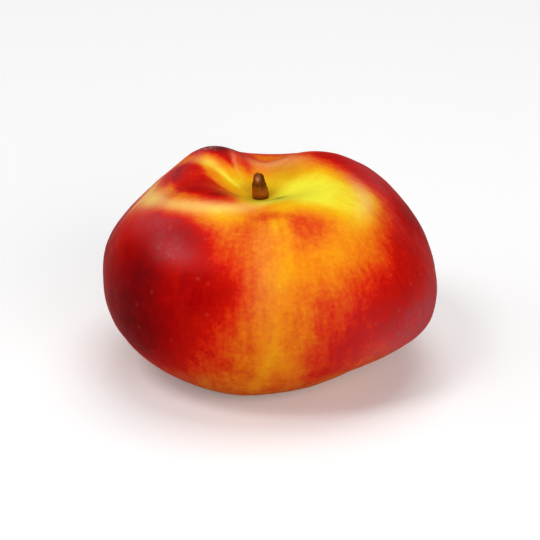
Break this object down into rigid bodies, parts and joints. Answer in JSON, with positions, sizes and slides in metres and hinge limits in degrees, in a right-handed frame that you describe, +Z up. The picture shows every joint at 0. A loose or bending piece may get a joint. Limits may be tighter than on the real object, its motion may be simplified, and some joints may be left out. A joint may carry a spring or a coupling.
{
  "type": "nectarine",
  "caption": "Ripe flat nectarine: a low lobed fruit with smooth red and yellow skin, a cavity at the top with a short woody stem, and a dimpled base that it rests on.",
  "frame": {"origin": "under the middle of the fruit, on the surface that it rests on", "axes": "+Z up through the stem end, +X to the fruit's right as it is seen from its front, the front facing -Y"},
  "size_m": [0.0697, 0.066, 0.0405],
  "materials": {
    "fruit_skin": "satin",
    "stem_wood": "matte"
  },
  "bodies": {
    "root": {"fruit": "fruit_skin", "stem": "stem_wood"}
  },
  "joints": []
}
